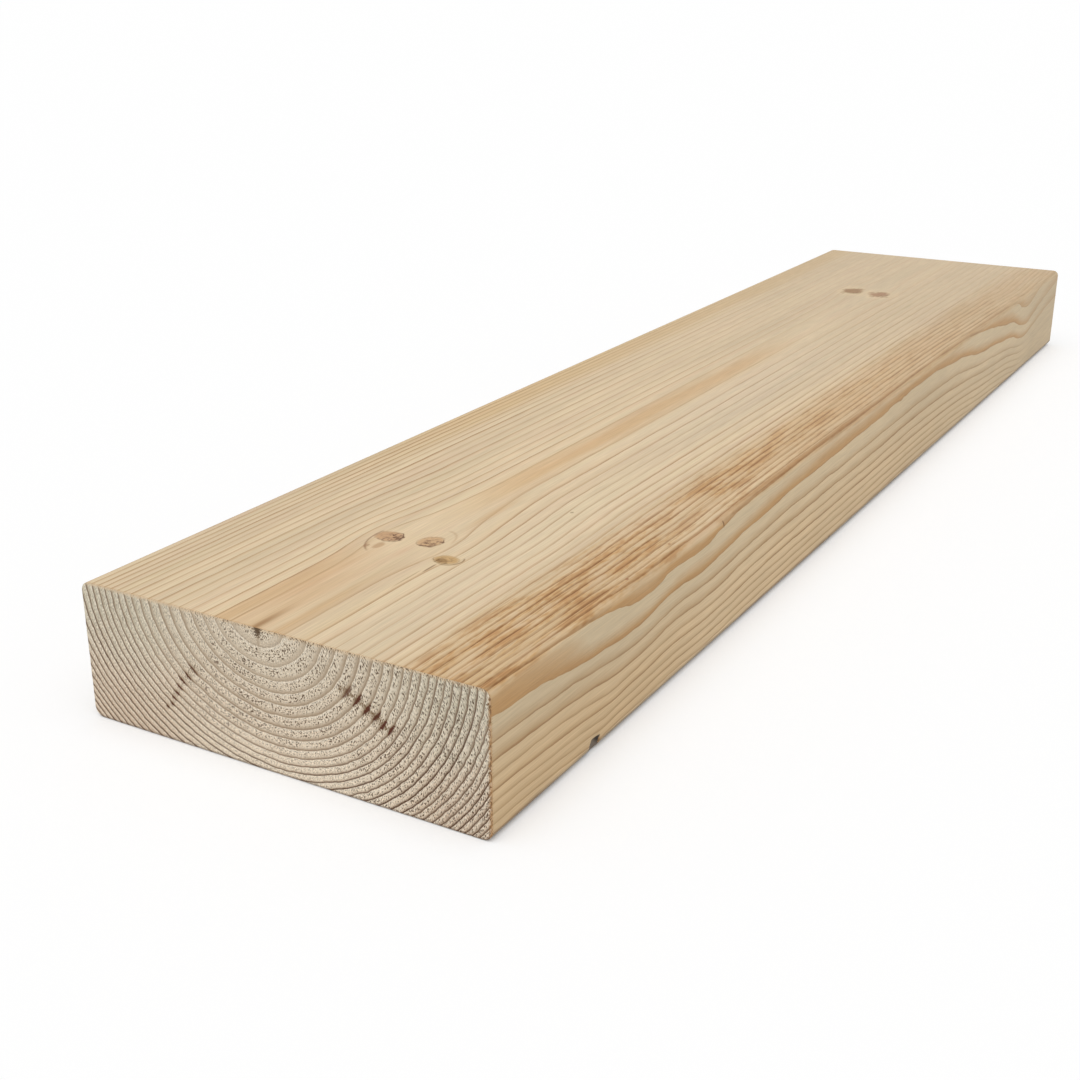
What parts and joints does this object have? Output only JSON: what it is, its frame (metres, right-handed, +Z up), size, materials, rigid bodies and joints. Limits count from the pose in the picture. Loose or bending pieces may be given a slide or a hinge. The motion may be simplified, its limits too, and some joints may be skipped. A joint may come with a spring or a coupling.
{
  "type": "timber plank",
  "caption": "Short softwood plank of flat rectangular section with eased long edges and square sawn ends, used as framing, joist or decking stock.",
  "frame": {"origin": "on the underside, below the middle of the plank's length and width", "axes": "+X along the grain from the near end to the far end, +Y across the width from the front edge to the back edge, +Z up through the thickness"},
  "size_m": [0.65, 0.145, 0.045],
  "materials": {
    "timber": "matte"
  },
  "bodies": {
    "root": {"plank": "timber"}
  },
  "joints": []
}
